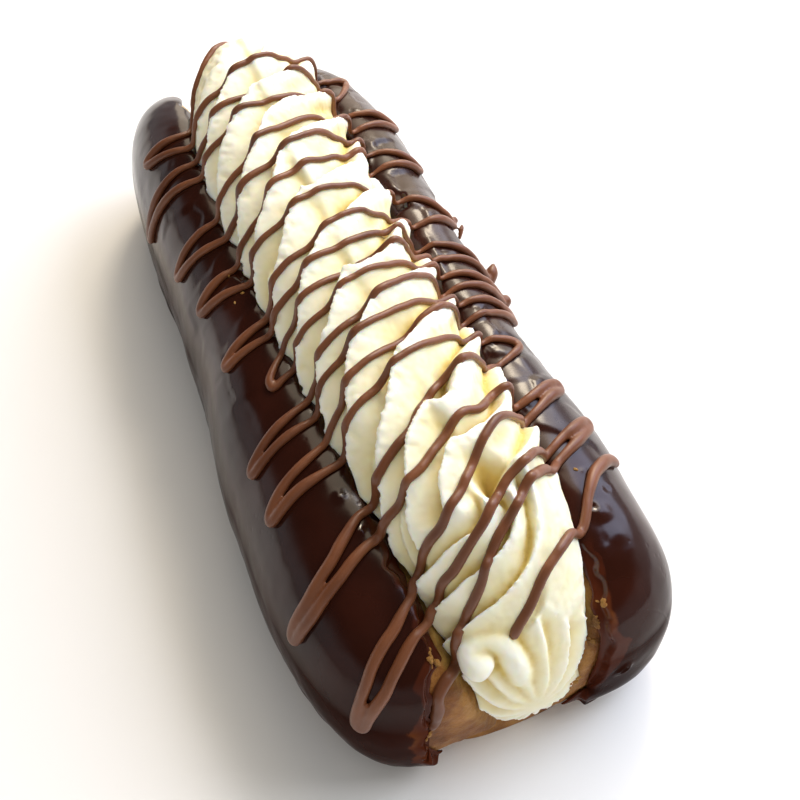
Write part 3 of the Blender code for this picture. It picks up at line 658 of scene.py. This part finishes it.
def plates(across, along, size, step, tilt):
    """Cracked plates: each place's height on its own level, tilted plate, and how far it is from a crack."""
    near = np.full(across.shape, 1e9)
    next_near, level = near.copy(), np.zeros(across.shape)
    for column in (-1, 0, 1):
        for row in (-1, 0, 1):
            cell_a, cell_b = np.floor(across / size) + column, np.floor(along / size) + row
            # five fixed but scattered numbers from 0 to 1 for each cell
            chance = [np.modf(np.abs(np.sin(a * cell_a + b * cell_b + 1.7) * 4375.85))[0] for a, b in (
                (12.71, 31.17), (26.95, 18.33), (41.92, 37.19), (7.13, 9.71), (3.37, 25.19))]
            middle_a = (cell_a + 0.1 + 0.8 * chance[0]) * size
            middle_b = (cell_b + 0.1 + 0.8 * chance[1]) * size
            away = np.hypot(across - middle_a, along - middle_b)
            height = step * (chance[2] - 0.5) + tilt * ((across - middle_a) * (chance[3] - 0.5)
                                                        + (along - middle_b) * (chance[4] - 0.5))
            closest = away < near
            next_near = np.where(closest, near, np.minimum(next_near, away))
            level = np.where(closest, height, level)
            near = np.where(closest, away, near)
    return level, next_near - near


def gap_to(points, path):
    """How far each point lies from a path of straight stretches."""
    nearest = np.full(len(points), 1e9)
    for start, end in zip(np.asarray(path[:-1]), np.asarray(path[1:])):
        way = end - start
        share = np.clip((points - start) @ way / (way @ way), 0.0, 1.0)
        nearest = np.minimum(nearest, np.linalg.norm(points - start - share[:, None] * way, axis=1))
    return nearest


def coat_relief(name, points, section):
    """How a coat's skin rises and sinks: plates over its crown, blisters, burst bubbles and cracks."""
    first, last, size, step, tilt = PLATES[name]
    x = points[:, 0]
    wavy_x = x + 1.2 * wander(points, 5.0, 17.0)
    level, from_crack = plates(wavy_x, LOBE_MIDDLE[0] * section, size, step, tilt)
    crown = bump(np.degrees(section), 92.0, 62.0)
    crown = crown * smooth_step((x - first) / 8.0) * smooth_step((last - x) / 6.0)
    relief = level * smooth_step(from_crack / 0.6) * crown
    for spot_x, spot_y, reach, height in BLISTERS[name]:
        away = np.hypot(x - spot_x, points[:, 1] - spot_y)
        relief = relief + height * bump(away, 0.0, reach) * smooth_step((points[:, 2] - 20.0) / 4.0)
    for path in CRACKS[name]:
        relief = relief - 0.4 * bump(gap_to(points, path), 0.0, 0.6)
    return uneven(points, COAT_LAYERS, relief)


def build_coat(name, lobe):
    sides, rings = COAT_SIDES, COAT_RINGS
    drip_x, drip_y, drip_reach, drip_height = DRIP
    stations = np.linspace(0.0, 1.0, rings + 1)
    slit, low = coat_edges(lobe, stations)
    half = sides // 2
    # past the last station that has some coat, the skin closes over its last section
    covered = np.flatnonzero((slit - low) > 0.12)
    first_ring, last_ring = covered[0], covered[-1]
    # a section's points crowd toward both rims, so that these come out round
    spread = np.linspace(0.0, 1.0, half)
    spread = spread - 0.75 * np.sin(TAU * spread) / TAU
    lobe_middle = np.array([lobe["side"] * LOBE_MIDDLE[0], LOBE_MIDDLE[1]])

    def place(along, angle):
        station = np.rint(along * rings).astype(int)
        ring = np.clip(station, first_ring, last_ring)
        along = stations[ring]
        index = np.rint(angle / TAU * sides).astype(int) % sides
        outer = index < half
        share = spread[np.where(outer, np.minimum(index, half - 1), np.clip(sides - 1 - index, 0, half - 1))]
        section = slit[ring] + (low[ring] - slit[ring]) * share
        base = lobe_skin(lobe, along, section)
        lift_way = lobe_normal(lobe, along, section)
        reach = np.linalg.norm(base[:, 1:] - lobe_middle, axis=1)
        length = np.abs(low[ring] - slit[ring]) * reach
        from_rim = np.minimum(share, 1.0 - share) * length
        rounded = np.sqrt(1.0 - (1.0 - np.clip(from_rim / RIM_RADIUS, 0.0, 1.0)) ** 2)
        film = film_share(name, lobe, base)
        full = COAT_THICKNESS * (1.0 - film) + FILM_THICKNESS * film
        full = full + LOWER_BEAD[0] * bump((1.0 - share) * length, *LOWER_BEAD[1:]) * (1.0 - film)
        from_drip = np.hypot(base[:, 0] - drip_x, base[:, 1] - drip_y)
        full = full + drip_height * bump(from_drip, 0.0, drip_reach) * smooth_step((9.0 - base[:, 2]) / 5.0)
        full = full + coat_relief(name, base, section) * (1.0 - 0.6 * film)
        lift = np.where(outer, COAT_GAP + 0.12 + (np.maximum(full, 0.2) - 0.12) * rounded, COAT_GAP)
        placed = base + lift_way * lift[:, None]
        for end, past, count in ((first_ring, station < first_ring, first_ring),
                                 (last_ring, station > last_ring, rings - last_ring)):
            middle = placed[station == end].mean(axis=0)
            share = np.abs(station[past] - end) / count
            placed[past] = middle + (placed[past] - middle) * (1.0 - share)[:, None]
        return placed

    coat = shaped_skin(f"coat_{name}", sides, rings, place)
    softened(coat, 1, 0.35)
    points = points_of(coat)
    set_attribute(coat, "film", film_share(name, lobe, points))
    satin = (lobe["side"] > 0.0) * (1.0 - smooth_step((points[:, 0] - SATIN[0]) / SATIN[1]))
    set_attribute(coat, "satin", satin)
    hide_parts(f"chocolate_coat_{name}")
    return coat


# ---- piped cream --------------------------------------------------------------------------------
def middle_line(x):
    """The line that the cream lies round: bent down at both ends, and drifting right."""
    near = np.maximum(0.0, (x - NEAR_BEND[0]) / NEAR_BEND[1])
    far = np.maximum(0.0, (FAR_BEND[0] - x) / FAR_BEND[1])
    across = CREAM_MIDDLE[0] + CREAM_DRIFT * smooth_step(x / 70.0)
    across = across + FAR_DRIFT * smooth_step((-x - 30.0) / 30.0)
    up = CREAM_MIDDLE[1] - NEAR_BEND[2] * near ** 2 - FAR_BEND[2] * far ** 2
    return np.stack([x, across, up], axis=-1)


def saw(part, face, bulge=1.0):
    """1 at a flute's sharp edge, 0 in the fold: a broad face over this share of it, then a short side."""
    part = part - np.floor(part)
    down = 1.0 - np.clip(part / face, 0.0, 1.0) ** bulge
    up = np.clip((part - face) / (1.0 - face), 0.0, 1.0)
    return np.where(part < face, down, up)


def pleat_relief(x, aside):
    """Along the cream, how far its skin lies in and how far each pleat's edge hangs over, at each place."""
    right = np.maximum(aside, 0.0)
    marks = on_sheet(x, aside)
    jog = CREST_STEP * (0.6 + wander(marks * [1.0, 0.0, 0.0], 8.5, 21.0)) * smooth_step((aside + 1.5) / 3.0)
    where = x + PLEAT_LEAN * (aside - 0.25 * right) + 2.4 * wander(marks, 11.5, 5.0) - jog
    edge = np.arange(len(PLEAT_EDGES))
    phase = np.interp(where, PLEAT_EDGES, edge)
    rise = saw(phase, PLEAT_FACE, 1.5)
    # low on the left flank a second, smaller pleat lies in each fold
    low_left = smooth_step((-aside - 11.5) / 5.0)
    second = saw(phase + 0.52, 0.6)
    rise = np.maximum(rise, (0.62 + 0.2 * np.sin(5.1 * np.floor(phase))) * second * low_left)
    on_right = smooth_step(aside / 8.0)
    depth = np.interp(phase, edge, PLEAT_DEPTHS) * (1.0 - 0.45 * on_right)
    # each coil was dragged to a point on the right, which leaves flat facets
    facet = bump(phase - np.floor(phase), 0.36, 0.24) * smooth_step((aside - 2.0) / 5.0)
    torn = np.maximum(0.0, wander(marks, 1.2, 4.0)) * smooth_step((rise - 0.7) / 0.3)
    inward = depth * (1.0 - rise) + 0.9 * torn + 1.2 * facet * (0.5 + wander(marks, 9.0, 12.0))
    return inward, PLEAT_TUCK * rise * (1.0 - 0.5 * on_right)


def ring_relief(x, aside):
    """The same over the near end, where the last coil turns: its flutes run in rings."""
    ahead = x - RING_MIDDLE[0]
    across = (aside - RING_MIDDLE[1]) * np.where(aside > RING_MIDDLE[1], 0.84, 0.15)
    marks = on_sheet(x, aside)
    away = np.hypot(ahead, across) + 0.7 * wander(marks, 8.0, 3.0)
    edge = np.arange(len(RING_EDGES))
    phase = np.interp(away, RING_EDGES, edge)
    rise = saw(phase, 0.66, 1.25)
    broad = smooth_step((aside - 3.0) / 3.0) * smooth_step((away - 12.6) / 1.5)
    torn = np.maximum(0.0, wander(marks, 1.3, 4.0)) * smooth_step((rise - 0.6) / 0.4)
    depth = np.interp(phase, edge, RING_DEPTHS)
    inward = depth * (1.0 - rise) * (1.0 - broad) + 1.3 * broad + 0.6 * torn
    overhang = 1.1 * rise * (1.0 - broad) / np.maximum(away, 2.0)
    return inward, overhang * ahead, overhang * across


def pleated_skin(along, angle):
    """Cream piped in tight overlapping coils, seen as one body with pleats slanting over it."""
    half = 0.5 * (CREAM_END - CREAM_START)
    x = CREAM_START + half * (1.0 - np.cos(math.pi * along))
    round_it = (angle + math.pi) % TAU - math.pi            # 0 on top, positive toward the right lip
    aside = CREAM_HALF_WIDTH * round_it
    size = (1.0 - np.abs(np.cos(math.pi * along)) ** 4.0) ** 0.25
    inward, tuck = pleat_relief(x, aside)
    ring_inward, ring_back, ring_left = ring_relief(x, aside)
    near = smooth_step((x - RINGS_TAKE_OVER[0] + 0.12 * aside) / RINGS_TAKE_OVER[1])
    inward = inward + (ring_inward - inward) * near
    inward = inward + POCKET[3] * bump(np.hypot(x - POCKET[0], aside - POCKET[1]), 0.0, POCKET[2])
    # down the front the flutes fan out
    marks = on_sheet(x, aside)
    fan = saw(-(aside - 2.6 - 0.4 * (x - 71.0)) / FAN_PITCH, 0.72, 1.3)
    fanned = smooth_step((x - FAN_START + 0.4 * np.sin(aside / 2.0)) / 1.0)
    flutes = (FAN_DEPTH * (1.0 - fan) + 0.7 * np.maximum(0.0, wander(marks, 1.5, 4.0))) * fanned
    inward = inward * (1.0 - fanned)
    x = x - size * (tuck * (1.0 - near) + ring_back * near) * (1.0 - fanned)
    round_it = round_it - size * (tuck * (1.0 - near) + ring_left * near) * (1.0 - fanned) / CREAM_HALF_WIDTH
    width = np.maximum((CREAM_HALF_WIDTH - inward) * size - flutes, 0.0)
    height = np.maximum((CREAM_HALF_HEIGHT - inward) * size - flutes, 0.0)
    out = np.stack([0.0 * x, width * np.sin(round_it), height * np.cos(round_it)], axis=-1)
    return middle_line(x) + out


def core_skin(along, angle):
    """Cream pressed down into the slit."""
    first, last = CREAM_START + 1.0, CREAM_END - 2.5
    x = 0.5 * (first + last) - 0.5 * (last - first) * np.cos(math.pi * along)
    size = (1.0 - np.clip(np.abs(np.cos(math.pi * along)), 0.0, 1.0) ** 6) ** (1.0 / 6.0)
    middle = middle_line(x)
    half_height = 0.5 * (middle[:, 2] - CORE_FLOOR)
    return np.stack([x, middle[:, 1] + CORE_HALF_WIDTH * size * np.cos(angle),
                     CORE_FLOOR + half_height + half_height * size * np.sin(angle)], axis=-1)


def clearance_skin(lobe, along, angle):
    """What the cream is cut by: the lobe, and the coat where there is one."""
    base = lobe_skin(lobe, along, angle)
    coated = smooth_step((depth_from_wall(lobe, base) - 0.3) / 0.8)
    lift = 0.15 + (COAT_GAP + COAT_THICKNESS) * coated
    return base + lobe_normal(lobe, along, angle) * lift[:, None]


def build_cream(material):
    parts = [shaped_skin("body", 260, 620, pleated_skin),
             shaped_skin("curl", 48, 120,
                         lambda along, angle: rope_skin(CURL, CURL_THICKNESS, along, angle)),
             shaped_skin("core", 60, 160, core_skin)]
    cream = joined(parts, "piped_cream")
    one_skin(cream, CREAM_GRAIN)
    for name, lobe in LOBES.items():
        clear = shaped_skin(f"clear_{name}", 112, 150,
                            lambda along, angle, lobe=lobe: clearance_skin(lobe, along, angle))
        finished(cream, "Cut", "BOOLEAN", operation="DIFFERENCE", object=clear, solver="MANIFOLD")
        bpy.data.objects.remove(clear, do_unlink=True)
    points, normals = points_of(cream), normals_of(cream)
    set_points(cream, points + normals * uneven(points, CREAM_LAYERS)[:, None])
    # painted shade: how far the skin stands out sets the fold attribute, which paints the cream darker and
    # yellower in its folds
    stand = height_over_smoothed(cream, 160)
    set_attribute(cream, "fold", np.clip(0.5 + 0.30 * stand, 0.0, 1.0))
    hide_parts("cream")
    painted(cream, material)
    return cream


# ---- milk chocolate drizzle ---------------------------------------------------------------------
def drizzle_path():
    """The zigzag as (X, degrees round from the top) places."""
    places = list(DRIZZLE_START)
    for loop in DRIZZLE_LOOPS:
        for side, (come, turn, back, reach) in ((-1.0, loop[:4]), (1.0, loop[4:])):
            half = 0.5 * (CREST + reach)
            places += [(come, side * CREST), (0.55 * come + 0.45 * turn - 0.3, side * half),
                       (turn - 0.7, side * reach), (turn + 0.7, side * reach),
                       (0.55 * back + 0.45 * turn + 0.3, side * half), (back, side * CREST)]
    return places + list(DRIZZLE_END)


def even_steps(places, step):
    """A polyline of (X, degrees) places resampled evenly, its corners rounded."""
    flat = np.asarray(places, float) * [1.0, 0.5]
    reach = np.concatenate([[0.0], np.cumsum(np.linalg.norm(np.diff(flat, axis=0), axis=1))])
    at = np.linspace(0.0, reach[-1], int(reach[-1] / step) + 1)
    line = np.stack([np.interp(at, reach, flat[:, k]) for k in (0, 1)], axis=-1)
    line[:, 0] += 0.35 * wander(on_sheet(at), 9.0, 31.0)
    weights = np.hanning(int(1.8 / step) * 2 + 3)
    return averaged(line, weights / weights.sum()) * [1.0, 2.0]


def bridged(height, step):
    """Heights along a line with every dip tighter than the span radius bridged."""
    window = int(5.0 / step)
    bow = (np.arange(-window, window + 1) * step) ** 2 / (2.0 * SPAN_RADIUS)
    held = np.pad(height, window, mode="edge")
    raised = np.array([np.max(held[k:k + 2 * window + 1] - bow) for k in range(len(height))])
    held = np.pad(raised, window, mode="edge")
    return np.array([np.min(held[k:k + 2 * window + 1] + bow) for k in range(len(height))])


def laid_on(tree, places, step):
    """Where a line at these (X, degrees) places touches what lies below, and which way is out there."""
    inner_x = np.clip(places[:, 0], -60.0, 60.0)
    inner = np.stack([inner_x, 0.0 * inner_x, 0.0 * inner_x + 14.0], axis=-1)
    turn = np.radians(places[:, 1])
    out = np.stack([(places[:, 0] - inner_x) / 25.0, np.sin(turn), np.cos(turn)], axis=-1)
    out /= np.linalg.norm(out, axis=1, keepdims=True)
    height = np.zeros(len(places))
    for k, (start, way) in enumerate(zip(inner, out)):
        hit = tree.ray_cast(Vector((start + 60.0 * way) * MM), Vector(-way))
        height[k] = 60.0 - hit[3] / MM if hit[0] is not None else height[k - 1]
    return inner, out, bridged(height, step)


def line_skin(name, tree, places, tip=0.5):
    """A thin line of chocolate laid over everything, a little flattened where it lies."""
    line = even_steps(places, LINE_STEP)
    inner, out, height = laid_on(tree, line, LINE_STEP)
    count = len(line)
    on_lip = smooth_step((np.abs(line[:, 1]) - 38.0) / 8.0)
    hanging = bump(line[:, 1], 33.0, 5.0) * smooth_step((40.0 - line[:, 0]) / 10.0)
    near = smooth_step((line[:, 0] - 20.0) / 30.0)
    radius = LINE_RADIUS[0] + (LINE_RADIUS[1] - LINE_RADIUS[0]) * near
    radius = radius * (1.0 + 0.25 * on_lip - 0.30 * hanging)
    radius = radius * (1.0 + 0.16 * wander(on_sheet(np.arange(count) * LINE_STEP), 5.0, 2.0))
    ends = np.minimum(np.arange(count), count - 1 - np.arange(count)) * LINE_STEP
    radius = radius * (tip + (1.0 - tip) * smooth_step(ends / 3.0))
    middle = inner + out * (height + 0.55 * radius)[:, None]
    middle = averaged(middle, [0.1, 0.2, 0.4, 0.2, 0.1])
    ahead = np.gradient(middle, axis=0)
    ahead /= np.linalg.norm(ahead, axis=1, keepdims=True)
    side = np.cross(ahead, out)
    side /= np.linalg.norm(side, axis=1, keepdims=True)
    up = np.cross(side, ahead)

    def place(along, angle):
        ring = np.clip(np.rint(along * (count - 1)).astype(int), 0, count - 1)
        closing = np.sqrt(np.clip(np.minimum(ring, count - 1 - ring) / 3.0, 0.0, 1.0))
        wide = radius[ring] * closing
        return (middle[ring] + side[ring] * (wide * np.cos(angle))[:, None]
                + up[ring] * (LINE_FLATNESS * wide * np.sin(angle))[:, None])

    return shaped_skin(name, 16, count - 1, place)


def build_drizzle(tree):
    places = drizzle_path()
    lines = [line_skin("zigzag", tree, places), line_skin("last_strand", tree, LAST_STRAND, 0.8)]
    for k, (x, degrees, length, thick) in enumerate(DRIPS):
        inner, out, height = laid_on(tree, np.array([(x, degrees)]), LINE_STEP)
        foot = inner[0] + out[0] * (height[0] + 0.5)
        way = np.array([-0.62, 0.45, 0.30 + 0.25 * math.sin(3.0 * k)])
        path = [foot - way, foot, foot + way * length * 0.5, foot + way * length]
        radii = (0.9 * thick, thick, 1.25 * thick, 0.3)
        lines.append(shaped_skin(f"drip_{k}", 20, 30, lambda along, angle, path=path, radii=radii: (
            rope_skin(path, radii, along, angle))))
    drizzle = joined(lines, "chocolate_drizzle")
    one_skin(drizzle, DRIZZLE_GRAIN)
    softened(drizzle, 2)
    painted(drizzle, milk_chocolate())
    return drizzle


# ---- crumbs -------------------------------------------------------------------------------------
def build_crumbs(tree, material):
    """Crumbs of crust broken off along the cut edges, lying where they fell."""
    chance = random.Random(11)
    crumbs = []
    for x, y, z, spread, count, size in CRUMBS:
        for _ in range(count):
            aim = Vector((x + chance.uniform(-spread, spread), y + 0.5 * chance.uniform(-spread, spread),
                          z + 0.5 * chance.uniform(-spread, spread)))
            place, normal, _, _ = tree.find_nearest(aim * MM)
            bpy.ops.object.select_all(action="DESELECT")
            bpy.ops.mesh.primitive_ico_sphere_add(subdivisions=2, radius=MM)
            crumb = bpy.context.object
            points = points_of(crumb)
            points = points * (1.0 + 0.35 * wander(points, 0.8, 5.0 * len(crumbs)))[:, None]
            wide = size * chance.uniform(0.8, 1.8)
            points = points * [wide, wide * chance.uniform(0.4, 0.9), wide * chance.uniform(0.35, 0.6)]
            turned = np.array((normal.to_track_quat("Z", "Y").to_matrix() @ Matrix.Rotation(
                chance.uniform(0.0, TAU), 3, "Z")).transposed())
            set_points(crumb, points @ turned + np.array(place) / MM + 0.2 * wide * np.array(normal))
            crumb.name = crumb.data.name = f"crumb_{len(crumbs)}"
            crumbs.append(crumb)
    made = joined(crumbs, "crumbs")
    set_attribute(made, "crumb", np.full(len(made.data.vertices), 0.35))
    painted(made, material)
    return made


def tree_of(pieces):
    """One search tree over several pieces."""
    points, faces = [], []
    for piece in pieces:
        first = len(points)
        points += [v.co.copy() for v in piece.data.vertices]
        faces += [[first + k for k in face.vertices] for face in piece.data.polygons]
    return BVHTree.FromPolygons(points, faces)


# ---- setting ------------------------------------------------------------------------------------
def build_floor():
    bpy.ops.object.select_all(action="DESELECT")
    bpy.ops.mesh.primitive_grid_add(x_subdivisions=2, y_subdivisions=2, size=6.0)
    floor = bpy.context.object
    floor.name = floor.data.name = "floor"
    made, tree, shader = new_material("Pale matt board")
    feed(tree, shader, Base_Color=colour("#f1f0ee"), Roughness=0.9)
    floor.data.materials.append(made)


def softbox(name, toward, distance, width, height, watts, tint, glossy=True):
    """A big soft lamp, seen from the eclair in the direction toward."""
    way = Vector(toward).normalized()
    data = bpy.data.lights.new(name, "AREA")
    data.shape = "RECTANGLE"
    data.size, data.size_y = width, height
    data.energy = watts
    data.color = colour(tint)[:3]
    lamp = bpy.data.objects.new(name, data)
    lamp.location = way * distance + Vector((0.0, 0.0, 0.02))
    lamp.rotation_euler = way.to_track_quat("Z", "Y").to_euler()
    lamp.visible_glossy = glossy
    bpy.context.scene.collection.objects.link(lamp)


def build_light():
    softbox("window", (-0.24, 0.76, 0.62), 0.75, 0.56, 0.62, 3.8, "#d3e0ff")
    softbox("lit_wall", (-0.66, 0.46, 0.60), 0.75, 0.60, 1.05, 4.2, "#f6e4c8")
    softbox("bright_pane", (-0.57, 0.42, 0.70), 0.75, 0.16, 0.22, 2.4, "#fff0d8")
    softbox("daylight", (0.10, 0.74, 0.68), 0.9, 0.60, 0.60, 5.2, "#f3f7ff", glossy=False)
    softbox("overhead", (0.15, 0.05, 1.0), 0.9, 1.0, 1.0, 2.6, "#fffdf8", glossy=False)
    softbox("front_fill", (0.75, -0.50, 0.55), 0.9, 0.9, 0.7, 1.6, "#fffaf2", glossy=False)
    # pale walls and a dim ceiling, so that the glossy crowns stay dark
    world = bpy.data.worlds.new("Pale room with a dim ceiling")
    bpy.context.scene.world = world
    world.use_nodes = True
    tree = world.node_tree
    toward = add(tree, "ShaderNodeTexCoord").outputs["Generated"]
    height = add(tree, "ShaderNodeSeparateXYZ", Vector=toward).outputs["Z"]
    light = add(tree, "ShaderNodeMapRange", {"interpolation_type": "SMOOTHSTEP"}, n0=height, n1=WALL_TOP,
                n2=CEILING, n3=WALL_LIGHT, n4=CEILING_LIGHT).outputs[0]
    feed(tree, tree.nodes["Background"], Color=colour("#eceff4"), Strength=light)


def build_camera():
    flat = math.cos(CAMERA_ELEVATION)
    back = Vector((math.sin(CAMERA_AZIMUTH) * flat, -math.cos(CAMERA_AZIMUTH) * flat,
                   math.sin(CAMERA_ELEVATION)))
    data = bpy.data.cameras.new("camera")
    data.sensor_width = 36.0
    data.lens = CAMERA_LENS
    data.clip_start = 0.01
    camera = bpy.data.objects.new("camera", data)
    camera.location = Vector(CAMERA_AIM) + RECENTRE + back * CAMERA_DISTANCE
    camera.rotation_euler = back.to_track_quat("Z", "Y").to_euler()
    bpy.context.scene.collection.objects.link(camera)
    bpy.context.scene.camera = camera


def main():
    bpy.context.scene.view_settings.view_transform = "Standard"
    build_camera()
    build_floor()
    build_light()
    chocolate = dark_chocolate()
    under = [build_bun()]
    for name, lobe in LOBES.items():
        under.append(build_coat(name, lobe))
        painted(under[-1], chocolate)
    under.append(build_cream(whipped_cream()))
    tree = tree_of(under)
    toppings = [build_drizzle(tree), build_crumbs(tree, under[0].data.materials[0])]
    for piece in under + toppings:
        piece.data.transform(Matrix.Translation(RECENTRE))


main()
